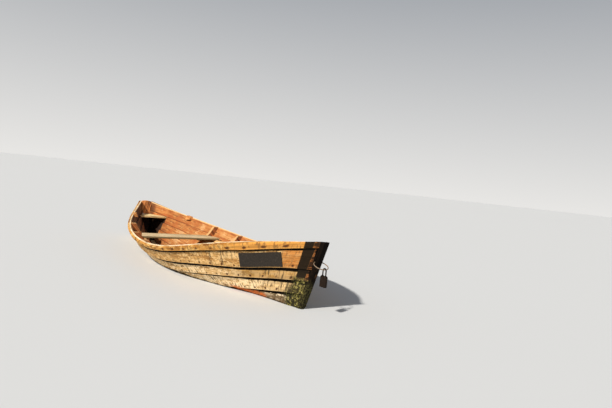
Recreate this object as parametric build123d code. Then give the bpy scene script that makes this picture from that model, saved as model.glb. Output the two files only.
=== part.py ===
from build123d import *
from math import cos, hypot, radians, sin, atan2, degrees, sqrt
import os

os.makedirs("parts", exist_ok=True)

# A clinker rowing boat afloat. Millimetres, X towards the stem, Y to port, Z up from the waterline.
# Places along the boat are measured from the top of the transom, and the finished pieces are moved
# aft by midship, so that the origin is amidships on the waterline.
midship = 2150.0
length = 4284.0         # transom's top to the stem's front at its head
half_beam = 704.0       # greatest half breadth of the planking
stem_head = 556.0       # height of the stem's head

# Planking
plank = 15.0            # plank thickness
lap = 26.0              # how far a plank covers the one below it
seat = 0.5              # gap left between faces that touch
fit = 0.8               # gap between the planking and the pieces cut to its curves
plank_count = 5

# Backbone
keel_half = 30.0        # half the thickness of keel and stem, the flat the plank ends land on
keel_above = 16.0       # keel above the garboard's lower edge
keel_below = 34.0       # keel below it
skeg_half = 17.0
skeg_drop = 14.0        # the skeg's heel below the keel amidships
skeg_end = 0.345 * length
stem_width = 112.0      # stem, fore and aft, at its head
stem_lean = 0.41        # how far the stem leans forward for each millimetre of height
stem_chamfer = 11.0
stem_head_fall = 10.0   # how much lower the head is at its back
scarf_end = 0.9         # where the stem's foot meets the keel, as a share of the length

# Rubbing band along the sheer
band_thick = 20.0
band_seat = 1.0

# Ribs, sawn to fit the steps of the planking
rib_x = [length * (0.2848 + 0.1109 * n) for n in range(6)]
rib_thick = 32.0
rib_deep = 46.0
rib_below_sheer = 3.0

# Transom
transom_thick = 26.0
transom_crown = 14.0

# Floor boards, flat on the ribs
floor_rise = 120.0      # underside above the keel amidships
floor_from, floor_to = 0.257 * length, 0.737 * length
board_wide = 92.0
board_gap = 9.0
board_thick = 14.0
board_count = 3

# Seats
riser_high = 42.0
riser_thick = 18.0
riser_from, riser_to = 0.272 * length, 0.738 * length
thwart_rise = 204.0     # top of the thwarts above the floor boards' underside
thwart_thick = 28.0
main_thwart = (0.28 * length, 260.0)
forward_thwart = (0.628 * length, 210.0)
stern_seat_drop = 107.0 # top of the stern seat below the sheer at the second station
stern_seat_thick = 22.0
stern_seat_front = 0.09 * length
seat_peg = (18.0, 48.0) # peg under the stern seat, across and down

# Breasthook, oar blocks, mooring ring and padlock
breasthook_from = length - 274
breasthook_thick = 34.0
breasthook_drop = 44.0  # its underside below the sheer
oar_block_x = 0.172 * length
oar_block_long = 64.0
oar_block_deep = 26.0
oar_block_drop = 20.0   # its underside below the sheer at the third station
oar_block_proud = 9.0
oar_bore = 12.0
oar_bore_floor = 6.0    # wood left under the socket
ring_hole = 18.0
ring_hole_x, ring_hole_z = length - 99, 0.705 * stem_head
ring_size = 112.0       # ring's middle line, across
ring_wire = 7.0
ring_dip = 22.0         # degrees that the ring hangs below level
lock_body = (66.0, 28.0, 84.0)
lock_shackle = 10.0
lock_reach = 36.0       # shackle's height over the body
lock_bow = 14.0         # inside radius of the shackle's bow

# Stations, from the transom to just past the stem. Each one is a plane across the boat that may lean.
#   x      where the plane meets the sheer, as a share of the length
#   lean   how far it leans forward for each millimetre of height
#   half   half breadth at the sheer, as a share of the greatest one
#   sheer  height of the sheer, as a share of the stem's height
#   keel   height of the garboard's lower edge, likewise
#   turn   degrees that the planking turns from the garboard to the top plank
#   share  widths of the five planks, from the garboard up, as shares of the girth
#   band   height of the rubbing band along the sheer
stations = [
    dict(x=0.0, lean=-0.24, half=0.108, sheer=0.878, keel=0.112, turn=-12, share=(14, 17, 20, 20, 29), band=42),
    dict(x=0.077, lean=-0.18, half=0.310, sheer=0.770, keel=-0.040, turn=4, share=(17, 19, 21, 19, 24), band=42),
    dict(x=0.187, lean=-0.08, half=0.590, sheer=0.639, keel=-0.173, turn=30, share=(20, 21, 21, 18, 20), band=42),
    dict(x=0.327, lean=0.0, half=0.862, sheer=0.505, keel=-0.227, turn=46, share=(21, 21, 21, 18, 19), band=42),
    dict(x=0.4785, lean=0.0, half=1.0, sheer=0.429, keel=-0.230, turn=52, share=(22, 22, 21, 17, 18), band=39),
    dict(x=0.630, lean=0.0, half=0.987, sheer=0.479, keel=-0.228, turn=50, share=(24, 22, 20, 16.5, 17.5), band=38),
    dict(x=0.7585, lean=0.12, half=0.815, sheer=0.664, keel=-0.212, turn=40, share=(20, 21, 20, 16, 23), band=51),
    dict(x=0.8635, lean=0.26, half=0.544, sheer=0.833, keel=-0.158, turn=24, share=(15, 20, 19, 15, 31), band=65),
    dict(x=0.9385, lean=0.34, half=0.270, sheer=0.933, keel=-0.094, turn=8, share=(12, 20, 19, 17, 32), band=55),
    dict(x=1.0014, lean=0.36, half=-0.064, sheer=1.007, keel=-0.007, turn=0, share=(9, 18, 19, 17, 37), band=50),
]
for station in stations:
    station["x"] *= length
    station["half"] *= half_beam
    station["sheer"] *= stem_head
    station["keel"] *= stem_head
keel_level = stations[4]["keel"]
floor_level = keel_level + floor_rise
thwart_top = floor_level + thwart_rise
stern_seat_top = stations[1]["sheer"] - stern_seat_drop
oar_block_low = stations[2]["sheer"] - oar_block_drop
skeg_bottom = keel_level - keel_below - skeg_drop
stem_index = len(stations) - 1


def beam_slope(index):
    """How fast the half breadth changes along the boat at a station."""
    low, high = max(index - 1, 0), min(index + 1, stem_index)
    a, b = stations[low], stations[high]
    return (b["half"] - a["half"]) / (b["x"] - a["x"])


def chain(index):
    """The five land lines' points (y, z) at a station, from the garboard's lower edge to the sheer."""
    s = stations[index]
    start_y = keel_half + 2 if index < stem_index else 6.0
    rise, run = s["sheer"] - s["keel"], s["half"] - start_y
    girth = float(sum(s["share"]))
    middle, heads = 0.0, []
    for share in s["share"]:
        heads.append(radians(s["turn"]) * ((middle + share / 2) / girth - 0.5))
        middle += share
    local = [(0.0, 0.0)]
    for share, head in zip(s["share"], heads):
        local.append((local[-1][0] + share * cos(head), local[-1][1] + share * sin(head)))
    end_x, end_y = local[-1]
    size = hypot(run, rise) / hypot(end_x, end_y)
    swing = atan2(rise, run) - atan2(end_y, end_x)
    return [(start_y + size * (px * cos(swing) - py * sin(swing)),
             s["keel"] + size * (px * sin(swing) + py * cos(swing))) for px, py in local]


def thick(index, k):
    """Plank thickness as the station's plane cuts it: more where the plank runs across the plane less squarely."""
    return plank * sqrt(1 + (beam_slope(index) * k / plank_count) ** 2)


def strip(index, k):
    """Points of plank k at a station: P below and above, its upward and outward directions, its thickness."""
    points = chain(index)
    (y0, z0), (y1, z1) = points[k - 1], points[k]
    t = thick(index, k)
    width = hypot(y1 - y0, z1 - z0)
    tilt = atan2(z1 - z0, y1 - y0) + atan2(t, sqrt(width ** 2 - t ** 2))
    up = (cos(tilt), sin(tilt))
    out = (sin(tilt), -cos(tilt))
    return points[k - 1], points[k], up, out, t


def along(point, *moves):
    """A point moved by pairs of distance and direction."""
    y, z = point
    for distance, (dy, dz) in moves:
        y, z = y + distance * dy, z + distance * dz
    return y, z


def place(index, point):
    """A point (y, z) of a station put on its leaning plane."""
    s = stations[index]
    y, z = point
    return Vector(s["x"] + s["lean"] * (z - s["sheer"]), y, z)


def skin(outlines):
    """A solid through one closed outline for each station."""
    return Solid.make_loft([Wire.make_polygon(outline, close=True) for outline in outlines], False)


def plank_outline(index, k):
    low, high, up, out, t = strip(index, k)
    inner_top = along(high, (-t, out))
    if k == 1:
        foot = along(low, (-30, up))
        points = [inner_top, foot, along(foot, (t, out)), high]
    else:
        _, _, below_up, below_out, _ = strip(index, k - 1)
        knee = along(low, (seat, out))
        inner_low = along(low, (seat, below_out), (-lap, below_up))
        outer_low = along(low, (seat + t, out), (-lap, up))
        points = [inner_top, knee, inner_low, outer_low, high]
    return [place(index, p) for p in points]


def write(shape, name):
    export_step(Pos(-midship, 0, 0) * shape, f"parts/{name}.step")
    print(name, "solids", len(shape.solids()), "volume", round(shape.volume / 1e6, 3), "valid", shape.is_valid)
    return shape


def stepped(index, inset, rim):
    """Inner faces of the planking at a station, moved inward, with the steps at the plank edges."""
    points = []
    for k in range(1, plank_count + 1):
        low, high, up, out, t = strip(index, k)
        if k == 1:
            points.append(along(low, (-inset, out)))
        else:
            points.append(along(low, (seat - inset, out), (inset, up)))
        lift = rim if k == plank_count else inset
        points.append(along(high, (-t - inset, out), (lift, up)))
    return points


def smooth(index, inset, rim):
    """The same without steps, level along the bottom: the inner edge of ribs and what bears on them."""
    points = []
    for k in range(1, plank_count + 1):
        low, high, up, out, t = strip(index, k)
        lift = rim if k == plank_count else 0
        y, z = along(high, (-t - inset, out), (lift, up))
        points.append((y, max(z, floor_level)))
    return points


def room(shape, inset, rim):
    """Everything to starboard of the port planking's inside, from the bottom of the shape to its top."""
    outlines = []
    for i in range(len(stations)):
        points = shape(i, inset, rim)
        points += [(points[-1][0] - 2 * wide, points[-1][1]), (points[0][0] - 2 * wide, points[0][1])]
        outlines.append([place(i, p) for p in points])
    return skin(outlines)


def both(shape):
    """The inside that a shape shares with its mirror image across the boat."""
    return shape & mirror(shape, about=Plane.XZ)


def slab(x0, x1, y0, y1, z0, z1):
    """A box between two corners."""
    return Pos((x0 + x1) / 2, (y0 + y1) / 2, (z0 + z1) / 2) * Box(x1 - x0, y1 - y0, z1 - z0)


def write_pair(shape, name):
    """A port piece and its starboard twin."""
    write(shape, f"{name}_port")
    write(mirror(shape, about=Plane.XZ), f"{name}_starboard")


def keel_bar(gap):
    """The keel, a straight-sided bar under the garboards, made larger all round by a gap."""
    outlines = []
    for i in range(keel_end + 1):
        z, half = stations[i]["keel"], keel_half + gap
        low, high = z - keel_below - gap, z + keel_above + gap
        outlines.append([place(i, p) for p in ((-half, low), (half, low), (half, high), (-half, high))])
    return skin(outlines)


def keel_point(index, rise):
    """A point (x, z) on the centreline at a station, above the garboard's lower edge by rise."""
    point = place(index, (0, stations[index]["keel"] + rise))
    return point.X, point.Z


def side_plate(points, half):
    """A flat piece on the centreline, cut to a side view outline."""
    face = make_face(Polyline(*[(x, 0, z) for x, z in points], close=True))
    return extrude(face, half, dir=(0, 1, 0), both=True)


keel_end = 7            # the station where the keel is scarfed to the stem
wide = 900.0            # further out than any part of the boat
outside = slab(-400, 4800, keel_half + seat, wide, -wide, wide)

# Planks and rubbing bands, ending on the flats of the stem and the keel
for k in range(1, plank_count + 1):
    body = skin([plank_outline(i, k) for i in range(len(stations))])
    write_pair(body & outside, f"plank_{k}")
band = []
for i in range(len(stations)):
    _, high, up, out, _ = strip(i, plank_count)
    far = band_seat + band_thick * sqrt(1 + beam_slope(i) ** 2)
    low = along(high, (-stations[i]["band"], up))
    corners = (along(high, (band_seat, out)), along(low, (band_seat, out)),
               along(low, (far, out)), along(high, (far, out)))
    band.append([place(i, p) for p in corners])
write_pair(skin(band) & outside, "rubbing_band")

# Keel and skeg
keel_room = keel_bar(seat)
write(keel_bar(0), "keel")
skeg_points = [keel_point(0, -9), keel_point(1, -9), keel_point(2, -9), (skeg_end, stations[3]["keel"] - 18),
               (skeg_end, stations[3]["keel"] - keel_below - 3), (keel_point(0, 0)[0] + 48, skeg_bottom)]
write(side_plate(skeg_points, skeg_half) - keel_room, "skeg")

# Stem post, with a rounded forefoot, chamfered front edges and a hole for the mooring ring
scarf_low, scarf_high = keel_point(keel_end, -keel_below), keel_point(keel_end, keel_above)
stem_points = [
    (scarf_low[0] + seat, scarf_low[1]),
    (scarf_end * length, keel_level + 42),
    (length - stem_lean * (stem_head + 14), -14),
    (length, stem_head),
    (length - stem_width, stem_head - stem_head_fall),
    (scarf_end * length - 2, keel_level + 172),
    (scarf_high[0] + seat, scarf_high[1]),
]
stem_face = make_face(Polyline(*[(x, 0, z) for x, z in stem_points], close=True))
for corner, radius in ((1, 260), (2, 110), (5, 180)):
    x, z = stem_points[corner]
    stem_face = fillet(stem_face.vertices().sort_by_distance((x, 0, z))[0], radius)
stem = extrude(stem_face, keel_half, dir=(0, 1, 0), both=True)
front_x, front_z = length - stem_lean * stem_head / 2, stem_head / 2
front_edges = [stem.edges().sort_by_distance((front_x, side * keel_half, front_z))[0] for side in (1, -1)]
stem = chamfer(front_edges, stem_chamfer)
write(stem - Pos(ring_hole_x, 0, ring_hole_z) * Rot(90, 0, 0) * Cylinder(ring_hole / 2, 4 * keel_half), "stem_post")

stem_room = Pos(-seat, 0, 0) * extrude(stem_face, keel_half + seat, dir=(0, 1, 0), both=True)

# The boat's inside: stepped to fit the planks, and smooth at the inner edge of the ribs
hold_port = room(stepped, fit, -rib_below_sheer)
hold = both(hold_port)
tall_port = room(stepped, fit, oar_block_proud)
bearing = both(room(smooth, rib_deep, 60))
riser_outside = room(smooth, rib_deep + seat, 60)
riser_inside = room(smooth, rib_deep + seat + riser_thick, 60)

# Transom, trimmed to the planks and crowned on top
top, half = stations[0]["sheer"], stations[0]["half"]
tilt = degrees(atan2(stations[0]["lean"], 1))
crown_radius = (half ** 2 + transom_crown ** 2) / (2 * transom_crown)
crown = Pos(0, 0, top + oar_block_proud - crown_radius) * Rot(0, 90, 0) * Cylinder(crown_radius, 400)
board = Pos(0, 0, top) * Rot(0, tilt, 0) * Box(2 * transom_thick, 2 * wide, 3 * wide)
board = board & slab(-400, 400, -wide, wide, stations[0]["keel"] + 8, wide)
write((both(tall_port) & board & crown) - keel_room, "transom")
transom_room = Pos(0, 0, top) * Rot(0, tilt, 0) * Box(2 * (transom_thick + seat), 2 * wide, 3 * wide)

# Ribs, notched over the keel and the stem's foot, and flat under the floor boards
floor_half = (board_count * board_wide + (board_count - 1) * board_gap) / 2 + 4
for number, x in enumerate(rib_x, start=1):
    slice_box = slab(x - rib_thick / 2, x + rib_thick / 2, -wide, wide, -300, 700)
    rib = (hold & slice_box) - bearing - keel_room - stem_room
    if floor_from < x < floor_to:
        rib = rib - slab(x - rib_thick, x + rib_thick, -floor_half, floor_half, floor_level, 100)
    write(rib, f"rib_{number}")

# Floor boards
boards = []
for n in range(board_count):
    y = (n - (board_count - 1) / 2) * (board_wide + board_gap)
    low = floor_level + seat
    boards.append(slab(floor_from, floor_to, y - board_wide / 2, y + board_wide / 2, low, low + board_thick))
write(Compound(children=boards), "floor_boards")

# Risers and thwarts
riser_top = thwart_top - thwart_thick - seat
strip_box = slab(riser_from, riser_to, 0, wide, riser_top - riser_high, riser_top)
write_pair((riser_outside & strip_box) - riser_inside, "riser")
for name, (x, width) in (("main_thwart", main_thwart), ("forward_thwart", forward_thwart)):
    write(both(riser_outside) & slab(x, x + width, -wide, wide, thwart_top - thwart_thick, thwart_top), name)

# Stern seat, with a peg under it
seat_low = stern_seat_top - stern_seat_thick
stern_seat = hold & slab(0, stern_seat_front, -wide, wide, seat_low, stern_seat_top)
write(stern_seat - transom_room, "stern_seat")
peg_wide, peg_long = seat_peg
peg_x, peg_z = stern_seat_front - 2 * peg_wide, seat_low - seat - peg_long / 2
write(Pos(peg_x, 0, peg_z) * Cylinder(peg_wide / 2, peg_long), "stern_seat_peg")

# Breasthook, a flat knee between the top planks behind the stem
hook_low = place(8, (0, stations[8]["sheer"] - breasthook_drop))
hook_high = place(9, (0, stations[9]["sheer"] - breasthook_drop))
hook_slope = degrees(atan2(hook_high.Z - hook_low.Z, hook_high.X - hook_low.X))
hook_slab = (Pos(hook_low.X, 0, hook_low.Z) * Rot(0, -hook_slope, 0)
             * Pos(120, 0, breasthook_thick / 2) * Box(400, wide, breasthook_thick))
hook_throat = Pos(breasthook_from - 90, 0, stem_head) * Cylinder(130, 600)
hook_slab = hook_slab & slab(breasthook_from - 60, length, -wide, wide, 0, wide)
write((hook_slab & hold) - hook_throat - stem_room, "breasthook")

# Oar blocks inside the top plank, standing proud of it, each with a socket for a thole pin
x0, x1 = oar_block_x - oar_block_long / 2, oar_block_x + oar_block_long / 2
block_inside = room(smooth, oar_block_deep, 90)
block = (tall_port & slab(x0, x1, 0, wide, oar_block_low, 500)) - block_inside
centre = block.center()
block = block - Pos(oar_block_x, centre.Y, oar_block_low + oar_bore_floor + 100) * Cylinder(oar_bore / 2, 200)
write_pair(block, "oar_block")

# Mooring ring through the stem, forged from square bar with its corners knocked off
ring_middle = ring_size / 2 - 4.5
ring_place = Pos(ring_hole_x, 0, ring_hole_z) * Rot(0, ring_dip, 0) * Pos(ring_middle, 0, 0)
bar = Plane.XZ * Pos(ring_size / 2, 0) * RegularPolygon(ring_wire / 2, 8, major_radius=False)
write(ring_place * revolve(bar, Axis.Z), "mooring_ring")

# Padlock, its shackle over the far side of the ring
lock_wide, lock_deep, lock_high = lock_body
reach = (ring_middle + ring_size / 2) * cos(radians(ring_dip))
hang = (ring_middle + ring_size / 2) * sin(radians(ring_dip))
bow_radius = lock_bow + lock_shackle / 2
bow_x = ring_hole_x + reach
bow_z = ring_hole_z - hang - (lock_bow - ring_wire / 2 - seat)
body = Pos(bow_x, 0, bow_z - lock_reach - lock_high / 2) * Box(lock_wide, lock_deep, lock_high)
body = chamfer(body.edges().filter_by(Axis.Y), 9)
leg = -lock_reach - 2
shackle_path = (Line((-bow_radius, leg), (-bow_radius, 0))
                + ThreePointArc((-bow_radius, 0), (0, bow_radius), (bow_radius, 0))
                + Line((bow_radius, 0), (bow_radius, leg)))
wire = Plane(origin=(-bow_radius, leg, 0), z_dir=(0, 1, 0)) * RegularPolygon(lock_shackle / 2, 8, major_radius=False)
shackle = Pos(bow_x, 0, bow_z) * Rot(90, 0, 0) * sweep(wire, path=shackle_path)
write(body + shackle, "padlock")
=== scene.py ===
# %% [markdown]
# # A clinker rowing boat, afloat
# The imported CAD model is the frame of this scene: it says where every piece is, in metres, with +X towards
# the stem, +Y to port and +Z up from the waterline. Blender adds what CAD leaves out: worn planks with a
# finish that follows them, nails, plates and weather.

import bmesh
import bpy
import numpy as np
from mathutils import Euler, Matrix, Vector
from mathutils.geometry import tessellate_polygon


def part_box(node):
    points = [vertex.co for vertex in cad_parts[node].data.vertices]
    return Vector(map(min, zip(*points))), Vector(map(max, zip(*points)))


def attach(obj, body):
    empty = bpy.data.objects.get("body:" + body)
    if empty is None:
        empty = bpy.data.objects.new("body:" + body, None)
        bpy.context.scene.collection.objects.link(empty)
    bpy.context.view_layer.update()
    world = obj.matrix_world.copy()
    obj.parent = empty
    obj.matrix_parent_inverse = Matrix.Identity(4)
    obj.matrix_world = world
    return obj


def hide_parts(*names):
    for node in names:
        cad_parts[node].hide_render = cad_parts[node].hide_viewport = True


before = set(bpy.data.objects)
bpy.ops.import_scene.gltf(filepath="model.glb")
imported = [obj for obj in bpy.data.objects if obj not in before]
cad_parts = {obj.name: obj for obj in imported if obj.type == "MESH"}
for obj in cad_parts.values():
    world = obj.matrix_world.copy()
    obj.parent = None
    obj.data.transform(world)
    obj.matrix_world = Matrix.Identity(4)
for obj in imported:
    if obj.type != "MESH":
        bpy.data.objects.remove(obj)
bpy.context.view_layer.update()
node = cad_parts

# %% [markdown]
# The camera stands ahead of the boat on its starboard side, a metre above the waterline, as the photograph's
# did. Its place came from fitting the rim, the stem and the thwart of the model to their lines in the
# picture. The roll tilts the picture a little, so the camera is turned as a whole and nothing on the boat is.

# %% Camera
camera_place = Vector((5.381, -2.413, 0.979))
camera_turn = 2.549292      # heading of the view, from +X
camera_dip = 0.038931
camera_roll = -0.106781
lens_mm = 32.353            # on a 36 mm wide frame
look = Euler((camera_roll, camera_dip, camera_turn), "XYZ").to_matrix()
ahead, left, up = look.col[0], look.col[1], look.col[2]
camera = bpy.data.objects.new("camera", bpy.data.cameras.new("camera"))
camera.data.lens = lens_mm
camera.data.clip_start = 0.05
camera.matrix_world = Matrix.Translation(camera_place) @ Matrix((-left, up, -ahead)).transposed().to_4x4()
bpy.context.scene.collection.objects.link(camera)
bpy.context.scene.camera = camera
print("camera looks along", tuple(round(c, 3) for c in ahead))

# %% [markdown]
# A shader is a sum, so it reads best as one: nodes wired by hand would hide that. Strand wraps a socket of a
# material's node tree, and a sum of strands, or of a strand and a number, adds a Math node.


# %% Sums on strands
def sum_of(operation, turned=False):
    """A method for Strand that adds a Math node; turned where the strand is the second of the two."""
    def method(self, other):
        pair = {0: other, 1: self} if turned else {0: self, 1: other}
        return self.finish.add("ShaderNodeMath", {"operation": operation}, pair)
    return method


class Strand:
    """An output of a material's node, on which sums can be written."""

    def __init__(self, finish, socket):
        self.finish = finish
        self.socket = socket

    __add__, __radd__ = sum_of("ADD"), sum_of("ADD", True)
    __sub__, __rsub__ = sum_of("SUBTRACT"), sum_of("SUBTRACT", True)
    __mul__, __truediv__, __pow__ = sum_of("MULTIPLY"), sum_of("DIVIDE"), sum_of("POWER")


print("strands take sums")

# %% [markdown]
# Finish holds the material and its one shader. Its add() makes any other node from its type, its settings
# and what its sockets get, and its set() feeds the shader.


# %% A material, node by node
class Finish:
    """A material, with its one shader, built node by node."""

    def __init__(self, name, **constants):
        self.material = bpy.data.materials.new(name)
        self.material.use_nodes = True
        self.tree = self.material.node_tree
        self.tree.nodes.clear()
        self.shader = self.tree.nodes.new("ShaderNodeBsdfPrincipled")
        output = self.tree.nodes.new("ShaderNodeOutputMaterial")
        self.tree.links.new(self.shader.outputs["BSDF"], output.inputs["Surface"])
        for socket, value in constants.items():
            self.shader.inputs[socket.replace("_", " ")].default_value = value

    def add(self, kind, settings=None, sockets=None, out=0):
        """Adds a node: its settings first, then a value or a link for each socket."""
        made = self.tree.nodes.new(kind)
        for setting, value in (settings or {}).items():
            if setting == "stops":
                self.set_stops(made.color_ramp, value)
            else:
                setattr(made, setting, value)
        for socket, value in (sockets or {}).items():
            if isinstance(value, Strand):
                self.tree.links.new(value.socket, made.inputs[socket])
            else:
                made.inputs[socket].default_value = value
        return Strand(self, made.outputs[out])

    @staticmethod
    def set_stops(ramp, stops):
        while len(ramp.elements) < len(stops):
            ramp.elements.new(0.5)
        for element, (place, colour) in zip(ramp.elements, stops):
            element.position = place
            element.color = (*colour, 1)

    def set(self, **links):
        """Feeds the shader's sockets."""
        for socket, strand in links.items():
            self.tree.links.new(strand.socket, self.shader.inputs[socket.replace("_", " ")])
        return self.material


print("finishes can be made")

# %% [markdown]
# The same few moves come back in every finish: noise that is stretched one way, a soft step that turns a
# value into a mask, and a mix of two colours by a mask. They get short names here, and each finds its
# material through the strand that it is given.


# %% Short names for what every finish uses
def point(x, y, z):
    return x.finish.add("ShaderNodeCombineXYZ", {}, {0: x, 1: y, 2: z})


def noise(where, detail=4.0, rough=0.55, scale=1.0):
    sockets = {"Vector": where, "Scale": scale, "Detail": detail, "Roughness": rough}
    return where.finish.add("ShaderNodeTexNoise", {}, sockets)


def step(value, start, end, low=0.0, high=1.0):
    """A soft step: low before start, high after end."""
    sockets = {"Value": value, "From Min": start, "From Max": end, "To Min": low, "To Max": high}
    return value.finish.add("ShaderNodeMapRange", {"interpolation_type": "SMOOTHSTEP"}, sockets)


def blend(mask, under, over):
    """Two colours, the second where the mask is 1."""
    under, over = (c if isinstance(c, Strand) else (*c, 1) for c in (under, over))
    return mask.finish.add("ShaderNodeMix", {"data_type": "RGBA"}, {0: mask, 6: under, 7: over}, out=2)


def shade(colour, amount):
    """A plain colour made darker or lighter by a factor that varies."""
    settings = {"data_type": "RGBA", "blend_type": "MULTIPLY"}
    grey = point(amount, amount, amount)
    return amount.finish.add("ShaderNodeMix", settings, {0: 1.0, 6: (*colour, 1), 7: grey}, out=2)


def absolute(value):
    return value.finish.add("ShaderNodeMath", {"operation": "ABSOLUTE"}, {0: value})


def bump(height, distance, strength):
    sockets = {"Height": height, "Distance": distance, "Strength": strength}
    return height.finish.add("ShaderNodeBump", {}, sockets)


def parts(vector):
    made = vector.finish.add("ShaderNodeSeparateXYZ", {}, {0: vector})
    return [Strand(made.finish, socket) for socket in made.socket.node.outputs]


print("moves ready")

# %% [markdown]
# The planks are lofted boards that twist from nearly flat under the boat to nearly upright at the stem.
# Their ends are cut by ten planes across the boat, the stations. Bevelling the CAD solids would be quicker,
# but then no point would know where on its board it lies, which grain and dirt have to follow. So the table
# is the CAD model's own, and planks made from it lie where its solids are.

# %% The hull's lines
midship = 2.150         # the frame's origin, from the transom's top
length = 4.284
half_beam = 0.704
stem_head = 0.556       # height of the stem's head
plank = 0.015           # thickness
plank_count = 5
lap = 0.026             # how far a plank covers the one below it
seat = 0.0005           # gap between a board and what it lies on
garboard_foot = 0.030   # how far the lowest plank reaches below its land line
keel_half = 0.030       # the flat of keel and stem, where the planks land
keel_start, stem_start = keel_half + 0.002, 0.006   # half breadth of the lowest land line
# share of the length, lean, half breadth, sheer, garboard's edge, turn in degrees, widths of the planks, and
# the band's height
stations = [
    (0.0, -0.24, 0.108, 0.878, 0.112, -12, (14, 17, 20, 20, 29), 0.042),
    (0.077, -0.18, 0.310, 0.770, -0.040, 4, (17, 19, 21, 19, 24), 0.042),
    (0.187, -0.08, 0.590, 0.639, -0.173, 30, (20, 21, 21, 18, 20), 0.042),
    (0.327, 0.0, 0.862, 0.505, -0.227, 46, (21, 21, 21, 18, 19), 0.042),
    (0.4785, 0.0, 1.0, 0.429, -0.230, 52, (22, 22, 21, 17, 18), 0.039),
    (0.630, 0.0, 0.987, 0.479, -0.228, 50, (24, 22, 20, 16.5, 17.5), 0.038),
    (0.7585, 0.12, 0.815, 0.664, -0.212, 40, (20, 21, 20, 16, 23), 0.051),
    (0.8635, 0.26, 0.544, 0.833, -0.158, 24, (15, 20, 19, 15, 31), 0.065),
    (0.9385, 0.34, 0.270, 0.933, -0.094, 8, (12, 20, 19, 17, 32), 0.055),
    (1.0014, 0.36, -0.064, 1.007, -0.007, 0, (9, 18, 19, 17, 37), 0.050),
]
station_x = np.array([s[0] * length for s in stations])
half_at = np.array([s[2] * half_beam for s in stations])
print("widest half", round(half_at.max(), 3), "m")

# %% [markdown]
# At each station the lands bend evenly from keel to sheer. They are set out at any size, then turned and
# scaled to fit, which keeps every plank's share of the width.


# %% Lands and strips at a station
def beam_slope(index):
    """How fast the half breadth changes along the boat at a station."""
    low, high = max(index - 1, 0), min(index + 1, len(stations) - 1)
    return (half_at[high] - half_at[low]) / (station_x[high] - station_x[low])


def land_points(index):
    """The land lines' points (y, z) at a station, from the garboard's lower edge to the sheer."""
    _, _, half, sheer, keel, turn, shares, _ = stations[index]
    start_y = keel_start if index < len(stations) - 1 else stem_start
    run, rise = half * half_beam - start_y, (sheer - keel) * stem_head
    middles = (np.cumsum(shares) - np.array(shares) / 2) / sum(shares)
    heads = np.radians(turn) * (middles - 0.5)
    steps = np.array([shares * np.cos(heads), shares * np.sin(heads)]).T
    local = np.vstack([[0, 0], np.cumsum(steps, axis=0)])
    size = np.hypot(run, rise) / np.hypot(*local[-1])
    swing = np.arctan2(rise, run) - np.arctan2(local[-1][1], local[-1][0])
    turned = np.array([[np.cos(swing), np.sin(swing)], [-np.sin(swing), np.cos(swing)]])
    return size * local @ turned + (start_y, keel * stem_head)


def strip(index, k):
    """Plank k at a station: its land points, its upward and outward directions, its thickness."""
    points = land_points(index)
    low, high = points[k - 1], points[k]
    thick = plank * np.sqrt(1 + (beam_slope(index) * k / plank_count) ** 2)
    width = np.hypot(*(high - low))
    tilt = np.arctan2(*(high - low)[::-1]) + np.arctan2(thick, np.sqrt(width ** 2 - thick ** 2))
    return low, high, np.array((np.cos(tilt), np.sin(tilt))), np.array((np.sin(tilt), -np.cos(tilt))), thick


def placed(index, points):
    """Points (y, z) of a station put on its leaning plane, in the boat's frame."""
    _, lean, _, sheer = stations[index][:4]
    return [(station_x[index] + lean * (z - sheer * stem_head) - midship, y, z) for y, z in points]


print("sheer amidships at", round(float(land_points(4)[-1][1]), 3), "m")

# %% [markdown]
# A spline through the ten stations carries each corner of a plank along the boat. A natural cubic is enough:
# it is the curve that a thin batten takes when it is bent round the moulds.


# %% Bend a batten through the stations
def batten(corners, places):
    """Rows of points (station, corner, xyz) carried to more places along the boat."""
    corners = np.array(corners)
    rows, flat = len(corners), corners.reshape(len(corners), -1)
    gap = np.diff(station_x)
    system, right = np.eye(rows), np.zeros_like(flat)
    for i in range(1, rows - 1):
        system[i, i - 1:i + 2] = gap[i - 1], 2 * (gap[i - 1] + gap[i]), gap[i]
        right[i] = 6 * ((flat[i + 1] - flat[i]) / gap[i] - (flat[i] - flat[i - 1]) / gap[i - 1])
    curve = np.linalg.solve(system, right)
    span = np.clip(np.searchsorted(station_x, places) - 1, 0, rows - 2)
    width = gap[span][:, None]
    before = (station_x[span + 1] - places)[:, None] / width
    after = 1 - before
    bent = (before * flat[span] + after * flat[span + 1]
            + ((before ** 3 - before) * curve[span] + (after ** 3 - after) * curve[span + 1]) * width ** 2 / 6)
    return bent.reshape(len(places), *corners.shape[1:])


along_places = np.linspace(station_x[0], station_x[-1], 141)
print(len(along_places), "places along the boat")

# %% [markdown]
# On a real boat each plank is one board, sawn to shape, planed and nailed to the one below. Across, its
# outline has more points than its corners, so that it can take a bend, and its outer corners are worn.


# %% Outline of a plank
def split(a, b, count):
    return [a + (b - a) * i / count for i in range(count)]


plank_wear = 0.0022     # how far the outer corners are worn


def outer_edges(index, k):
    """The two outer corners of plank k at a station."""
    low, high, up_way, out_way, thick = strip(index, k)
    if k == 1:
        return low - garboard_foot * up_way + thick * out_way, high
    return low + (seat + thick) * out_way - lap * up_way, high


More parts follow.
